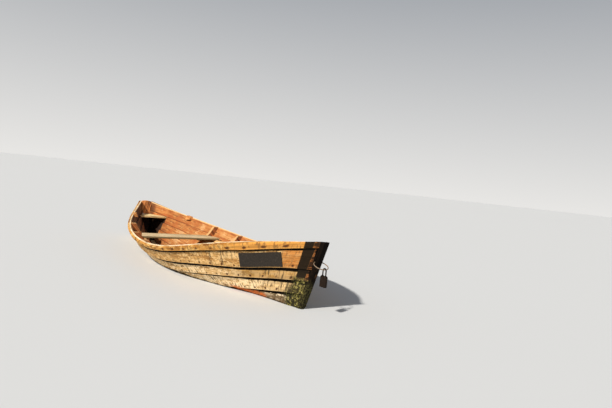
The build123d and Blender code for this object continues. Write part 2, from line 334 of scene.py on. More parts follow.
def board_outline(index, k):
    """Points across plank k at a station, how far up the board each one is, and how much of it shows."""
    low, high, up_way, out_way, thick = strip(index, k)
    inner_top = high - thick * out_way
    corner, _ = outer_edges(index, k)
    if k == 1:
        foot = low - garboard_foot * up_way
        inner = split(inner_top, foot, 4) + [foot]
    else:
        _, _, below_up, below_out, _ = strip(index, k - 1)
        inner = split(inner_top, low + seat * out_way, 4) + [low + seat * out_way]
        inner.append(low + seat * below_out - lap * below_up)
    worn_high = high - plank_wear * up_way
    outer = split(corner + plank_wear * up_way, worn_high, 7) + [worn_high]
    points = inner + [corner - plank_wear * out_way] + outer + [high - plank_wear * out_way]
    rise = [float(np.dot(p - corner, up_way)) for p in points]
    cover = stations[index][7] if k == plank_count else lap
    shown = float(np.dot(high - corner, up_way)) - cover
    return points, rise, shown


print("a plank's outline has", len(board_outline(0, 2)[0]), "points")

# %% [markdown]
# The outline, carried through the stations, becomes a closed tube of faces, cut off where the planks land on
# keel and stem. Each point keeps its lay: how far along its board it is, how far up from the lower edge, and
# how far below what covers the upper edge.

# %% Make a board from its outline
outside_slot, inside_slot, rim_slot, end_slot = range(4)
astern = -1.0           # aft of this x the boards run on to the transom's edges, within the keel's breadth


def make_board(name, outlines, inside_faces, side, seed, ragged=0.0):
    """A closed board bent through the stations, mirrored for starboard, cut off at the backbone."""
    rows = batten([placed(i, points) for i, (points, _, _) in enumerate(outlines)], along_places)
    rise = batten([[(r, 0, 0) for r in row] for _, row, _ in outlines], along_places)[:, :, 0]
    shown = batten([[(amount, 0, 0)] for _, _, amount in outlines], along_places)[:, 0, 0]
    count = rows.shape[1]
    if ragged:
        knocks = np.random.default_rng(seed).normal(0, ragged, len(rows) // 2 + 1)
        rough = np.interp(np.arange(len(rows)), np.arange(len(knocks)) * 2, knocks)
        rows[:, inside_faces + 1:inside_faces + 4, 2] += rough[:, None]
    mesh = bmesh.new()
    lay = mesh.verts.layers.float_vector.new("lay")
    grid = []
    for i, row in enumerate(rows):
        grid.append([mesh.verts.new(where) for where in row])
        for j, vertex in enumerate(grid[-1]):
            vertex[lay] = Vector((along_places[i], rise[i, j], shown[i] - rise[i, j]))
    for a, b in zip(grid, grid[1:]):
        for j in range(count):
            face = mesh.faces.new((a[j], a[(j + 1) % count], b[(j + 1) % count], b[j]))
            outer_slot = rim_slot if j >= count - 2 else outside_slot
            face.material_index = inside_slot if j < inside_faces else outer_slot
    mesh.faces.new(grid[0][::-1]).material_index = end_slot
    mesh.faces.new(grid[-1])
    forward = [part for part in mesh.verts[:] + mesh.edges[:] + mesh.faces[:]
               if all(v.co.x > astern for v in getattr(part, "verts", [part]))]
    flat = dict(plane_co=(0, keel_half + seat, 0), plane_no=(0, -1, 0))
    bmesh.ops.bisect_plane(mesh, geom=forward, clear_outer=True, **flat)
    bmesh.ops.holes_fill(mesh, edges=[e for e in mesh.edges if e.is_boundary], sides=0)
    if side < 0:
        bmesh.ops.scale(mesh, vec=(1, -1, 1), verts=mesh.verts)
    bmesh.ops.recalc_face_normals(mesh, faces=mesh.faces)
    return finish_mesh(name, mesh, 32)


def finish_mesh(name, mesh, sharp_degrees):
    """Turns the mesh into a piece that rides on the boat."""
    data = bpy.data.meshes.new(name)
    mesh.to_mesh(data)
    mesh.free()
    data.shade_smooth()
    data.set_sharp_from_angle(angle=np.radians(sharp_degrees))
    piece = bpy.data.objects.new(name, data)
    bpy.context.scene.collection.objects.link(piece)
    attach(piece, "root")
    return piece


sides = {"port": 1, "starboard": -1}
planks = {}
for k in range(1, plank_count + 1):
    outlines = [board_outline(i, k) for i in range(len(stations))]
    for side_name, side in sides.items():
        inside_faces, ragged = (4, 0.0) if k == 1 else (5, 0.0006)
        board = make_board(f"board_{k}_{side_name}", outlines, inside_faces, side, k * 7 + side, ragged)
        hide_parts(f"plank_{k}_{side_name}")
        planks[k, side_name] = board
print(len(planks), "planks,", sum(len(p.data.polygons) for p in planks.values()), "faces")

# %% [markdown]
# The rubbing band is a lighter batten, nailed outside the top plank along its upper edge. It takes the
# knocks, so its outer corners are worn rounder. It is a board like the others: the same function makes it.

# %% Rubbing bands
band_thick, band_seat = 0.020, 0.001
band_wear = 0.004
clear_of_laps = 0.2     # nothing covers the band's upper edge


def band_corners(index):
    _, high, up_way, out_way, _ = strip(index, plank_count)
    corner = high + (band_seat + band_thick * np.sqrt(1 + beam_slope(index) ** 2)) * out_way
    return corner - stations[index][7] * up_way, corner


def band_outline(index):
    _, high, up_way, out_way, _ = strip(index, plank_count)
    foot, corner = band_corners(index)
    inner_top = high + band_seat * out_way
    worn_high = corner - band_wear * up_way
    points = [inner_top, inner_top - stations[index][7] * up_way, foot - band_wear * out_way]
    points += split(foot + band_wear * up_way, worn_high, 4) + [worn_high, corner - band_wear * out_way]
    return points, [float(np.dot(p - foot, up_way)) for p in points], stations[index][7] + clear_of_laps


bands = {}
outlines = [band_outline(i) for i in range(len(stations))]
for side_name, side in sides.items():
    band = make_board(f"band_{side_name}", outlines, 1, side, 40 + side, 0.0008)
    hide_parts(f"rubbing_band_{side_name}")
    bands[side_name] = band
print("band faces", len(bands["port"].data.polygons))

# %% [markdown]
# Nails, screws and plates are placed by how far along and up a board they are. Rays cast at the meshes would
# find the places too, but a board's two outer edges are enough, and give the way out of the wood.

# %% Places on the boards
edge_lines = {k: batten([placed(i, outer_edges(i, k)) for i in range(len(stations))], along_places)
              for k in range(1, plank_count + 1)}
band_board = plank_count + 1
edge_lines[band_board] = batten([placed(i, band_corners(i)) for i in range(len(stations))], along_places)


def edge_points(k, along):
    """The lower and the upper outer edge of a board at a place along it."""
    return [np.array([np.interp(along, along_places, edge_lines[k][:, edge, axis]) for axis in range(3)])
            for edge in (0, 1)]


def spot(k, along, rise, side, out=0.0):
    """A point on the outside of a board, with the ways out of it, up it and along it."""
    low, high = edge_points(k, along)
    ahead_low, _ = edge_points(k, along + 0.01)
    up_way = (high - low) / np.linalg.norm(high - low)
    along_way = (ahead_low - low) / np.linalg.norm(ahead_low - low)
    out_way = np.cross(up_way, along_way)
    out_way /= np.linalg.norm(out_way)
    mirror = np.array((1, side, 1))
    where = low + rise * up_way + out * out_way
    return [Vector(v * mirror) for v in (where, out_way, up_way, along_way)]


def board_width(k, along):
    low, high = edge_points(k, along)
    return float(np.linalg.norm(high - low))


print("top plank is", round(board_width(plank_count, 2.0), 3), "m wide amidships")

# %% [markdown]
# Clench nails hold each lap, a hand's width apart, and two nails go through each plank into each rib. Their
# heads are low domes. One mesh holds all the heads of a side, because they are alike and never move apart.

# %% Nails
nail_start = 0.20
nail_pitch, nail_end, lap_nail_rise = 0.13, 4.12, 0.020
band_nail_pitch, band_nail_end, band_nail_rise = 0.16, 4.15, 0.021
rib_nails = ((-0.007, 0.42), (0.008, 0.62))     # aside from the rib's middle, share of the plank's width
rib_places = [length * (0.2848 + 0.1109 * n) - midship for n in range(6)]


def studs(name, spots, radius, rise):
    """Low domes at the given places, in one mesh."""
    mesh = bmesh.new()
    for where, out_way, up_way, along_way in spots:
        rings = []
        for share, lift in ((1.0, -0.0006), (0.92, rise * 0.5), (0.55, rise)):
            ring = []
            for n in range(8):
                turn = np.pi * n / 4
                flat = up_way * float(np.cos(turn)) + along_way * float(np.sin(turn))
                ring.append(mesh.verts.new(where + flat * (radius * share) + out_way * lift))
            rings.append(ring)
        for a, b in zip(rings, rings[1:]):
            for n in range(8):
                mesh.faces.new((a[n], a[(n + 1) % 8], b[(n + 1) % 8], b[n]))
        mesh.faces.new(rings[0][::-1])
        mesh.faces.new(rings[-1])
    bmesh.ops.recalc_face_normals(mesh, faces=mesh.faces)
    return finish_mesh(name, mesh, 60)


nails = []
for side_name, side in sides.items():
    spots = [spot(k, along, lap_nail_rise, side) for k in range(2, plank_count + 1)
             for along in np.arange(nail_start, nail_end, nail_pitch)]
    for k in range(1, plank_count + 1):
        middle = np.mean(edge_lines[k][:, :, 0], axis=1)
        for rib_x in rib_places:
            along = float(np.interp(rib_x, middle, along_places))
            spots += [spot(k, along + aside, board_width(k, along) * share, side)
                      for aside, share in rib_nails]
    nails.append(studs(f"nails_{side_name}", spots, 0.0042, 0.0016))
    spots = [spot(band_board, along, band_nail_rise, side)
             for along in np.arange(nail_start, band_nail_end, band_nail_pitch)]
    nails.append(studs(f"band_nails_{side_name}", spots, 0.0052, 0.0018))
print(len(nails), "groups of nails,", sum(len(n.data.polygons) for n in nails), "faces")

# %% [markdown]
# A dark plate is screwed to the top plank on each bow. It is thin sheet that follows the board, a little wavy
# between its screws, and it carries nothing. A flat box would stand off the bent board at its ends.

# %% Blank plates
plate_low, plate_high = 0.007, 0.136        # up the board
plate_from, plate_to_low, plate_to_high = 3.640, 4.028, 3.996       # along it: the fore edge leans
plate_sheet, plate_back = 0.0022, -0.0014   # its faces, out from the board
plate_wave = 0.0012


def plate_point(u, v, side, out):
    to = plate_to_low + (plate_to_high - plate_to_low) * v
    along = plate_from + (to - plate_from) * u
    wave = plate_wave * np.sin(u * 9.0) * np.sin(v * 3.14) + plate_wave
    return spot(plank_count, along, plate_low + (plate_high - plate_low) * v, side, out + wave)


plates, plate_screws = [], []
for side_name, side in sides.items():
    mesh = bmesh.new()
    columns, rows = 19, 7
    layers = []
    for out in (plate_back, plate_sheet):
        layers.append([[mesh.verts.new(plate_point(c / (columns - 1), r / (rows - 1), side, out)[0])
                        for r in range(rows)] for c in range(columns)])
    for layer in layers:
        for c in range(columns - 1):
            for r in range(rows - 1):
                mesh.faces.new((layer[c][r], layer[c + 1][r], layer[c + 1][r + 1], layer[c][r + 1]))
    border = [(c, 0) for c in range(columns)] + [(columns - 1, r) for r in range(1, rows)]
    border += [(c, rows - 1) for c in range(columns - 2, -1, -1)] + [(0, r) for r in range(rows - 2, 0, -1)]
    for (c0, r0), (c1, r1) in zip(border, border[1:] + border[:1]):
        mesh.faces.new((layers[0][c0][r0], layers[0][c1][r1], layers[1][c1][r1], layers[1][c0][r0]))
    bmesh.ops.recalc_face_normals(mesh, faces=mesh.faces)
    plates.append(finish_mesh(f"blank_plate_{side_name}", mesh, 40))
    spots = [plate_point(u, v, side, plate_sheet) for u in (0.035, 0.5, 0.965) for v in (0.08, 0.92)]
    plate_screws.append(studs(f"plate_screws_{side_name}", spots, 0.0036, 0.0014))
print("plate", round((plate_to_low - plate_from) * 1000), "mm long")

# %% [markdown]
# The mooring ring is a bent iron rod through the stem. A torus would do, but the padlock's shackle is a rod
# that isn't closed, so one function draws a rod along any line that lies in a plane.


# %% Ring
def rod(mesh, middle_line, radius, beside, closed, sides_round=12):
    """A round rod along a line that lies in a plane, square to the way beside it."""
    rings, last = [], len(middle_line) - 1
    for n, where in enumerate(middle_line):
        before = middle_line[n - 1] if n or closed else where
        after = middle_line[(n + 1) % (last + 1)] if n < last or closed else where
        outward = (after - before).cross(beside).normalized()
        turns = [2 * np.pi * m / sides_round for m in range(sides_round)]
        rings.append([mesh.verts.new(where + (outward * float(np.cos(t)) + beside * float(np.sin(t))) * radius)
                      for t in turns])
    pairs = list(zip(rings, rings[1:])) + ([(rings[-1], rings[0])] if closed else [])
    for a, b in pairs:
        for m in range(sides_round):
            mesh.faces.new((a[m], a[(m + 1) % sides_round], b[(m + 1) % sides_round], b[m]))
    if not closed:
        mesh.faces.new(rings[0][::-1])
        mesh.faces.new(rings[-1])


ring_low, ring_high = (Vector(c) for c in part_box("mooring_ring"))
ring_wire = 0.007
ring_dip = np.radians(22)
ring_radius = (ring_high.y - ring_low.y - ring_wire) / 2
ring_middle = (ring_low + ring_high) / 2
forward = Vector((np.cos(ring_dip), 0, -np.sin(ring_dip)))
across_boat = Vector((0, 1, 0))
mesh = bmesh.new()
line = [ring_middle + (forward * float(np.cos(t)) + across_boat * float(np.sin(t))) * ring_radius
        for t in np.linspace(0, 2 * np.pi, 72, endpoint=False)]
rod(mesh, line, ring_wire / 2, forward.cross(across_boat), True)
iron_ring = finish_mesh("iron_ring", mesh, 50)
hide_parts("mooring_ring")
print("ring is", round(ring_radius * 2000), "mm across")

# %% [markdown]
# The padlock hangs on the ring: a pressed body with rounded corners, collars round the shackle's legs, and on
# each face a plate with four rivets and a flap over the keyhole. The CAD node's box gives its place.


# %% Padlock
def rounded_block(mesh, middle, size, corner):
    """A box with rounded edges."""
    made = bmesh.ops.create_cube(mesh, size=1.0)
    bmesh.ops.scale(mesh, vec=size, verts=made["verts"])
    bmesh.ops.translate(mesh, vec=middle, verts=made["verts"])
    edges = list({e for v in made["verts"] for e in v.link_edges})
    rounding = dict(offset=corner, segments=3, profile=0.6, affect="EDGES", clamp_overlap=True)
    bmesh.ops.bevel(mesh, geom=edges, **rounding)


lock_low, lock_high = (Vector(c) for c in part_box("padlock"))
lock_middle = (lock_low + lock_high) / 2
body_high, shackle_wire, bow_radius = 0.084, 0.010, 0.019
leg_sunk = 0.004        # how far the shackle's legs reach into the body
body_middle = Vector((lock_middle.x, 0, lock_low.z + body_high / 2))
body_size = Vector((lock_high.x - lock_low.x, lock_high.y - lock_low.y, body_high))
body_top = body_middle.z + body_high / 2
mesh = bmesh.new()
rounded_block(mesh, body_middle, body_size, 0.009)
bow_z = lock_high.z - shackle_wire / 2 - bow_radius
bow = [(lock_middle.x - bow_radius * np.cos(t), bow_z + bow_radius * np.sin(t))
       for t in np.linspace(0, np.pi, 17)]
foot_z = body_top - leg_sunk
line = [(lock_middle.x - bow_radius, foot_z)] + bow + [(lock_middle.x + bow_radius, foot_z)]
rod(mesh, [Vector((x, 0, z)) for x, z in line], shackle_wire / 2, across_boat, False)
for leg in (-bow_radius, bow_radius):
    collar = Vector((lock_middle.x + leg, 0, body_top + 0.001))
    rounded_block(mesh, collar, Vector((0.016, 0.016, 0.005)), 0.0015)
for face_side in (1, -1):
    face_y = face_side * (body_size.y / 2 + 0.0005)
    plate_middle = body_middle + Vector((0, face_y, -0.002))
    flap_middle = body_middle + Vector((0, face_y * 1.07, -0.010))
    rounded_block(mesh, plate_middle, Vector((0.046, 0.0022, 0.060)), 0.0009)
    rounded_block(mesh, flap_middle, Vector((0.013, 0.0030, 0.026)), 0.0012)
lock = finish_mesh("lock", mesh, 40)
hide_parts("padlock")
rivets = [(body_middle + Vector((x, face * (body_size.y / 2 + 0.0012), z)),
           Vector((0, face, 0)), Vector((0, 0, 1)), Vector((1, 0, 0)))
          for face in (1, -1) for x in (-0.018, 0.018) for z in (-0.027, 0.023)]
lock_rivets = studs("lock_rivets", rivets, 0.0028, 0.0015)
print("lock is", round(body_high * 1000), "mm high")

# %% [markdown]
# Old softwood is the whole look of this boat: long grain, soft patches of grey and tan, cracks that run with
# the grain, knots and dark flecks. A wood photograph wrapped round each board would show seams and repeat, so
# one function makes the wood from where a point lies, and each piece gives its own colours.


# %% Weathered softwood
def softwood(finish, along, across, number, light, mid, dark, wear=0.5):
    """Returns the wood's colour, roughness and height for the bump."""
    flow = noise(point(along * 1.3, across * 5.0, number * 1.7), 2.0, 0.5)
    bent = across + flow * 0.045
    fibre = noise(point(along * 3.0, bent * 150.0, number), 5.0, 0.6)
    ring = noise(point(along * 0.8, bent * 30.0, number * 3.1), 3.0, 0.5)
    patch = noise(point(along * 1.8, across * 9.0, number * 5.7), 4.0, 0.6)
    cloud = noise(point(along * 7.0, across * 13.0, number * 2.3), 5.0, 0.65)
    tone = ring * 0.42 + fibre * 0.30 + cloud * 0.28
    base = finish.add("ShaderNodeValToRGB", {"stops": [(0.42, dark), (0.49, mid), (0.58, light)]}, {0: tone})
    worn = step(patch * 0.6 + cloud * 0.4, 0.57 - 0.12 * wear, 0.66)
    colour = blend(worn * 0.6, base, light)
    streak = noise(point(along * 2.6, bent * 62.0, number * 7.3), 3.0, 0.6)
    colour = blend(step(streak + (patch - 0.5) * 0.4, 0.55, 0.64) * 0.62, colour, dark)
    fleck = noise(point(along * 30.0, across * 62.0, number * 4.1), 3.0, 0.6)
    flecks = step(fleck + (cloud - 0.5) * 0.3, 0.64, 0.70)
    colour = blend(flecks * 0.75, colour, tuple(c * 0.4 for c in dark))
    split_line = noise(point(along * 1.1, bent * 36.0, number * 9.0), 2.0, 0.5) - 0.5
    crack = step(absolute(split_line), 0.011, 0.002) * step(cloud, 0.42, 0.58)
    knot_where = point(along * 2.4, across * 9.0, number)
    knot_far = finish.add("ShaderNodeTexVoronoi", {}, {"Vector": knot_where, "Scale": 1.0})
    knot = step(knot_far, 0.12, 0.05)
    colour = blend(crack * 0.8, colour, tuple(c * 0.18 for c in dark))
    colour = blend(knot * 0.75, colour, tuple(c * 0.35 for c in dark))
    height = fibre * 0.6 + ring * 0.4 - crack * 1.6 - knot * 0.2
    rough = 0.62 + fibre * 0.25 - worn * 0.08
    return colour, rough, height


def place_on_boat(finish):
    """Where a point is in the boat's frame: x, y, z in metres."""
    return parts(finish.add("ShaderNodeTexCoord", out="Object"))


def facing(finish):
    """The x, y and z of the way a face looks."""
    return parts(finish.add("ShaderNodeTexCoord", out="Normal"))


def lay_on_board(finish):
    """How far along its board a point is, how far up, and how far below what covers the upper edge."""
    return parts(finish.add("ShaderNodeAttribute", {"attribute_name": "lay"}, out="Vector"))


print("softwood ready")

# %% [markdown]
# Every lap nail weeps rust, down the board below. A mask for each would be hundreds, so the streaks repeat at
# the nails' own pitch, and a random number for each nail says how strong and how long its own is.

# %% Rust under the nails
band_number = 8.0       # the number that stands for the band in the finishes


def nail_rust(finish, along, rise, below, number):
    """Streaks below the nails of the lap above, and spots round the board's own nails."""
    if number == band_number:
        pitch, spot_rise, spot_long = band_nail_pitch, band_nail_rise, 0.5
    else:
        pitch, spot_rise, spot_long = nail_pitch, lap_nail_rise, 1.0
    turn = (along - nail_start) / pitch + 0.5
    whole = finish.add("ShaderNodeMath", {"operation": "FLOOR"}, {0: turn})
    luck = finish.add("ShaderNodeTexWhiteNoise", {"noise_dimensions": "1D"}, {"W": whole + number})
    waver = noise(point(along * 30.0, rise * 30.0, number), 3.0, 0.6) - 0.5
    aside = absolute((turn - whole - 0.5) * pitch)
    long_enough = step(below / (0.02 + luck * 0.08), 1.0, 0.1)
    streak = step(aside + waver * 0.016, 0.007, 0.001) * long_enough * step(luck, 0.45, 0.95)
    reach = (aside * spot_long) ** 2.0 + (rise - spot_rise + waver * 0.016) ** 2.0
    spot_here = step(reach ** 0.5 + waver * 0.018, 0.015, 0.007) * step(luck, 0.0, 0.5, 0.35, 1.0)
    return streak, spot_here


print("streaks ready")

# %% [markdown]
# The lowest boards stay wet, with a brown skin at the waterline and a patch of old red lead. Algae sit on the
# forefoot, and above them tar covers the plank ends, with worn wood ahead of it. Height above the waterline
# says where, and a coarse noise makes each edge ragged.

# %% Foot and stem end of the planking
wet_brown, slime_brown, red_lead = (0.105, 0.060, 0.026), (0.030, 0.024, 0.012), (0.600, 0.135, 0.022)
red_middle = 3.60       # along the boat
algae_dark, algae_green, algae_tips = (0.014, 0.014, 0.007), (0.105, 0.095, 0.020), (0.38, 0.31, 0.11)
tar_black, ridge_dark, ridge_red = (0.014, 0.010, 0.006), (0.016, 0.009, 0.006), (0.240, 0.085, 0.024)
tar_from, tar_to, tar_step = 4.134, 4.206, 0.016       # along the boat; the step is from planks to band


def foot_and_stem(colour, number, along, grime, flake, x, y, z):
    """Wet foot, algae and tar over a colour, with the masks of what changes the surface too."""
    ragged = noise(point(along * 9.0, z * 14.0, number), 5.0, 0.6)
    wet_line = step(along, 3.0, 4.1, 0.030, 0.075)
    wet = step(z - (ragged - 0.5) * 0.07, wet_line, wet_line - 0.045)
    colour = blend(wet * 0.72, colour, wet_brown)
    red_near = step(absolute(along - red_middle) + ragged * 0.2, 0.36, 0.26)
    red = red_near * step(z + ragged * 0.03, 0.066, 0.045)
    colour = blend(red * step(flake, 0.42, 0.52, 0.25, 0.95), colour, red_lead)
    slime = step(z - (ragged - 0.5) * 0.02, 0.014, 0.006)
    colour = blend(slime * 0.8, colour, slime_brown)
    forefoot = along + (ragged - 0.5) * 0.16 + step(z, 0.10, 0.22) * -0.05
    green = step(forefoot, 4.02, 4.10) * step(z + (ragged - 0.5) * 0.10, 0.275, 0.235)
    crust = noise(point(x * 58.0, y * 58.0, z * 58.0), 4.0, 0.65)
    skin = blend(step(crust, 0.49, 0.55), algae_dark, algae_green)
    skin = blend(step(crust, 0.58, 0.63) * 0.8, skin, algae_tips)
    colour = blend(green * 0.94, colour, skin)
    tar_place = along + (grime - 0.5) * 0.012
    tar_start = tar_from + tar_step if number == band_number else tar_from
    above = step(z + (ragged - 0.5) * 0.05, 0.235, 0.255)
    tar = step(tar_place, tar_start, tar_start + 0.004) * step(tar_place, tar_to + 0.004, tar_to) * above
    colour = blend(tar * 0.99, colour, tar_black)
    ridge = step(tar_place, tar_to, tar_to + 0.004) * above
    colour = blend(ridge * 0.96, colour, blend(step(flake, 0.47, 0.56), ridge_dark, ridge_red))
    return colour, wet, green * crust, tar


print("foot and stem ready")

# %% [markdown]
# The planks have stood in sun and rain for years. What is left of a pale coat flakes off in spots, dark marks
# run across the boards where it cracked, the bow end has its own colour, and under each lap a dark line is
# painted: dirt and the lap's shadow. Each is a mask over the softwood with its own reason, laid on in the
# order in which they came.

# %% Outside of the planks
# the last colour is the dark line under each lap: dirt and painted shadow of the lap
mark_brown, drip_brown, lap_dirt_and_shadow = (0.120, 0.070, 0.032), (0.050, 0.040, 0.024), (0.003, 0.002, 0.001)
streak_rust, spot_rust = (0.100, 0.042, 0.016), (0.085, 0.026, 0.010)


def outside_finish(name, number, light, mid, dark, pale, pale_from, bow, bow_from, bow_to):
    finish = Finish(name, Specular_IOR_Level=0.05)
    along, rise, below = lay_on_board(finish)
    x, y, z = place_on_boat(finish)
    colour, rough, height = softwood(finish, along, rise, number, light, mid, dark)
    grime = noise(point(along * 14.0, rise * 34.0, number), 4.0, 0.6)
    broad = noise(point(along * 2.3, rise * 6.0, number * 1.9), 3.0, 0.6)
    # the bow end's own colour, and what is left of the coat
    flake = noise(point(along * 15.0, rise * 38.0, number * 2.9), 6.0, 0.72)
    coat = step(flake + (broad - 0.5) * 0.35, pale_from, pale_from + 0.035)
    bow_part = step(along + (grime - 0.5) * 0.12, bow_from, bow_to)
    fibre = noise(point(along * 2.0, rise * 70.0, number * 6.3), 5.0, 0.6)
    colour = blend(bow_part * 0.80, colour, shade(bow, step(fibre, 0.36, 0.64, 0.55, 1.25)))
    colour = blend(coat * (0.88 - bow_part * (0.72 if number > 2 else 0.0)), colour, pale)
    # marks across the grain, drips and rust; nothing above the band weeps on it
    across_mark = noise(point(along * 80.0, rise * 15.0, number * 3.7), 5.0, 0.64)
    crowd = step(broad + step(along, 1.0, 3.9, -0.03, 0.03), 0.46, 0.56)
    mark = step(across_mark + crowd * 0.055, 0.592, 0.630) * (0.84 if number < 4 else 0.58)
    colour = blend(mark, colour, mark_brown)
    drip = noise(point(along * 24.0, rise * 2.5, number * 4.0), 3.0, 0.55)
    drips = step(drip + (grime - 0.5) * 0.10, 0.585, 0.635) * crowd
    streaks, spots = nail_rust(finish, along, rise, below, number)
    if number < band_number:
        colour = blend(drips * 0.75, colour, drip_brown)
        colour = blend(streaks * 0.7, colour, streak_rust)
    colour = blend(spots * 0.9, colour, spot_rust)
    # the lower edge is rubbed pale, and under the lap above a dark line is painted: dirt and the lap's shadow
    pale_edge = step(rise + grime * 0.010, 0.013, 0.006)
    colour = blend(pale_edge * 0.6, colour, light)
    reach_aft, reach_bow = (0.036, 0.019) if number == plank_count else (0.044, 0.029)
    reach = step(along, 2.0, 3.7, reach_aft, reach_bow) * step(along, 0.1, 1.5, 0.45, 1.0)
    lap_shadow_and_dirt = step(below + (grime - 0.5) * 0.018 - reach, 0.002, -0.003)
    colour = blend(lap_shadow_and_dirt, colour, lap_dirt_and_shadow)
    colour, wet, crust, tar = foot_and_stem(colour, number, along, grime, flake, x, y, z)
    rough = rough - wet * 0.30 - tar * 0.25
    height = height + drips * 0.1 + crust * 1.4 - tar * 0.2
    return finish.set(Base_Color=colour, Roughness=rough, Normal=bump(height, 0.0012, 0.9))


outside_table = {
    1: dict(light=(0.46, 0.26, 0.12), mid=(0.30, 0.15, 0.06), dark=(0.13, 0.06, 0.025),
            pale=(0.60, 0.46, 0.28), pale_from=0.56, bow=(0.40, 0.30, 0.17), bow_from=3.50, bow_to=3.80),
    2: dict(light=(0.74, 0.50, 0.25), mid=(0.56, 0.34, 0.15), dark=(0.22, 0.115, 0.045),
            pale=(0.88, 0.72, 0.50), pale_from=0.50, bow=(0.085, 0.075, 0.045), bow_from=3.55, bow_to=3.95),
    3: dict(light=(0.81, 0.56, 0.27), mid=(0.66, 0.41, 0.17), dark=(0.30, 0.160, 0.058),
            pale=(0.96, 0.75, 0.46), pale_from=0.45, bow=(0.60, 0.40, 0.18), bow_from=3.60, bow_to=4.00),
    4: dict(light=(0.75, 0.50, 0.235), mid=(0.60, 0.37, 0.145), dark=(0.25, 0.128, 0.044),
            pale=(0.90, 0.68, 0.39), pale_from=0.47, bow=(0.34, 0.18, 0.044), bow_from=3.25, bow_to=3.75),
    5: dict(light=(0.62, 0.37, 0.135), mid=(0.47, 0.25, 0.078), dark=(0.22, 0.10, 0.030),
            pale=(0.76, 0.51, 0.23), pale_from=0.50, bow=(0.51, 0.185, 0.038), bow_from=3.97, bow_to=4.03),
}
band_row = dict(light=(0.68, 0.36, 0.094), mid=(0.49, 0.22, 0.048), dark=(0.22, 0.08, 0.019),
                pale=(0.74, 0.45, 0.150), pale_from=0.54, bow=(0.80, 0.36, 0.076), bow_from=3.3, bow_to=3.9)
outside = {k: outside_finish(f"plank_outside_{k}", float(k), **row) for k, row in outside_table.items()}
band_wood = outside_finish("band_wood", band_number, **band_row)
print(len(outside) + 1, "outside finishes")

# %% [markdown]
# Inside, the planks are out of the wet and were once oiled, so they are warm orange, with dark quarters of
# streaks running down and painted shade, black seams under the laps and bilge stain low down. Under the stern
# seat everything gets painted shade, nearly black. The rim along the top is bleached.

# %% Inside of the planks
seat_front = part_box("stern_seat")[1][0]
seat_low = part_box("stern_seat")[0][2]
bilge_brown, patch_brown = (0.11, 0.055, 0.022), (0.20, 0.085, 0.030)
# the first two colours are painted shade: nearly black under the stern seat, and brown, with streaks, on the
# quarters
well_shadow_black, quarter_streak_and_shade_brown, seam_brown = (0.007, 0.004, 0.003), (0.060, 0.024, 0.010), (0.035, 0.015, 0.007)
oiled = dict(light=(0.61, 0.30, 0.102), mid=(0.49, 0.185, 0.047), dark=(0.31, 0.086, 0.018), wear=0.2)
blotch_red, blotch_pale, rim_pale = (0.38, 0.090, 0.018), (0.76, 0.47, 0.22), (0.80, 0.54, 0.25)


def stained(colour, x, y, z, bilge=0.45):
    """Bilge stain low down, and brown patches anywhere."""
    stain = noise(point(x * 5.0, y * 5.0, z * 9.0), 5.0, 0.6)
    low = step(z + stain * 0.08, 0.12, -0.04)
    colour = blend(low * bilge, colour, bilge_brown)
    return blend(step(stain, 0.55, 0.70) * 0.4, colour, patch_brown)


def well_shade(finish, colour, x, z):
    """Painted shade under the stern seat, nearly black. Faces that look aft are outside and don't have it."""
    inward = step(facing(finish)[0], -0.8, -0.6)
    aft_of_front = step(x, seat_front + 0.010, seat_front - 0.010)
    under_seat = step(z, seat_low + 0.004, seat_low - 0.004)
    return blend(inward * aft_of_front * under_seat * 0.95, colour, well_shadow_black)


def inside_plank_finish():
    finish = Finish("plank_inside", Specular_IOR_Level=0.3)
    along, rise, below = lay_on_board(finish)
    x, y, z = place_on_boat(finish)
    colour, rough, height = softwood(finish, along, rise * 0.7, 2.0, **oiled)
    blotch = noise(point(along * 6.0, rise * 9.0, y * 3.0), 5.0, 0.66)
    colour = blend(step(blotch, 0.50, 0.60) * 0.55, colour, blotch_red)
    colour = blend(step(blotch, 0.44, 0.36) * 0.50, colour, blotch_pale)
    # the quarters: dark streaks running down and painted shade; on starboard, whose inside lies in shade, it
    # reaches further forward than on port
    full_until, none_from = (step(y, -0.02, 0.02, *ends) for ends in ((0.95, 0.05), (1.30, 0.14)))
    run_down = noise(point(along * 17.0, rise * 2.0, y * 2.0), 5.0, 0.6)
    quarter_streaks_and_shade = step(along, none_from, full_until) * step(run_down, 0.40, 0.60, 0.60, 0.94)
    colour = blend(quarter_streaks_and_shade, colour, quarter_streak_and_shade_brown)
    colour = stained(colour, x, y, z)
    dirt = noise(point(along * 14.0, rise * 20.0, 3.0), 4.0, 0.6) - 0.5
    seam = step(rise + dirt * 0.010, lap + 0.009, lap + 0.003)
    colour = blend(seam * 0.85, colour, seam_brown)
    colour = blend(step(below + dirt * 0.008, -0.029, -0.032) * 0.8, colour, rim_pale)
    # painted shade under the stern seat
    colour = well_shade(finish, colour, x, z)
    return finish.set(Base_Color=colour, Roughness=rough, Normal=bump(height, 0.0011, 0.8))


inside_planks = inside_plank_finish()
print("seat ends", round(seat_front, 3), "m from amidships")

# %% [markdown]
# The other woodwork is the CAD model's own solids, which have no lay, so their grain follows an axis of the
# boat. A row gives a wood's number, its light, middle and dark colours, its grain's way, and what else it has:
# wear, bilge stain, a height under which its sides get painted shade, a paler painted light for faces that
# look across.

# %% Woodwork
thwart_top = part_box("main_thwart")[1][2]
# painted shade on the thwarts' sides
thwart_side_shade = (0.170, 0.130, 0.056)


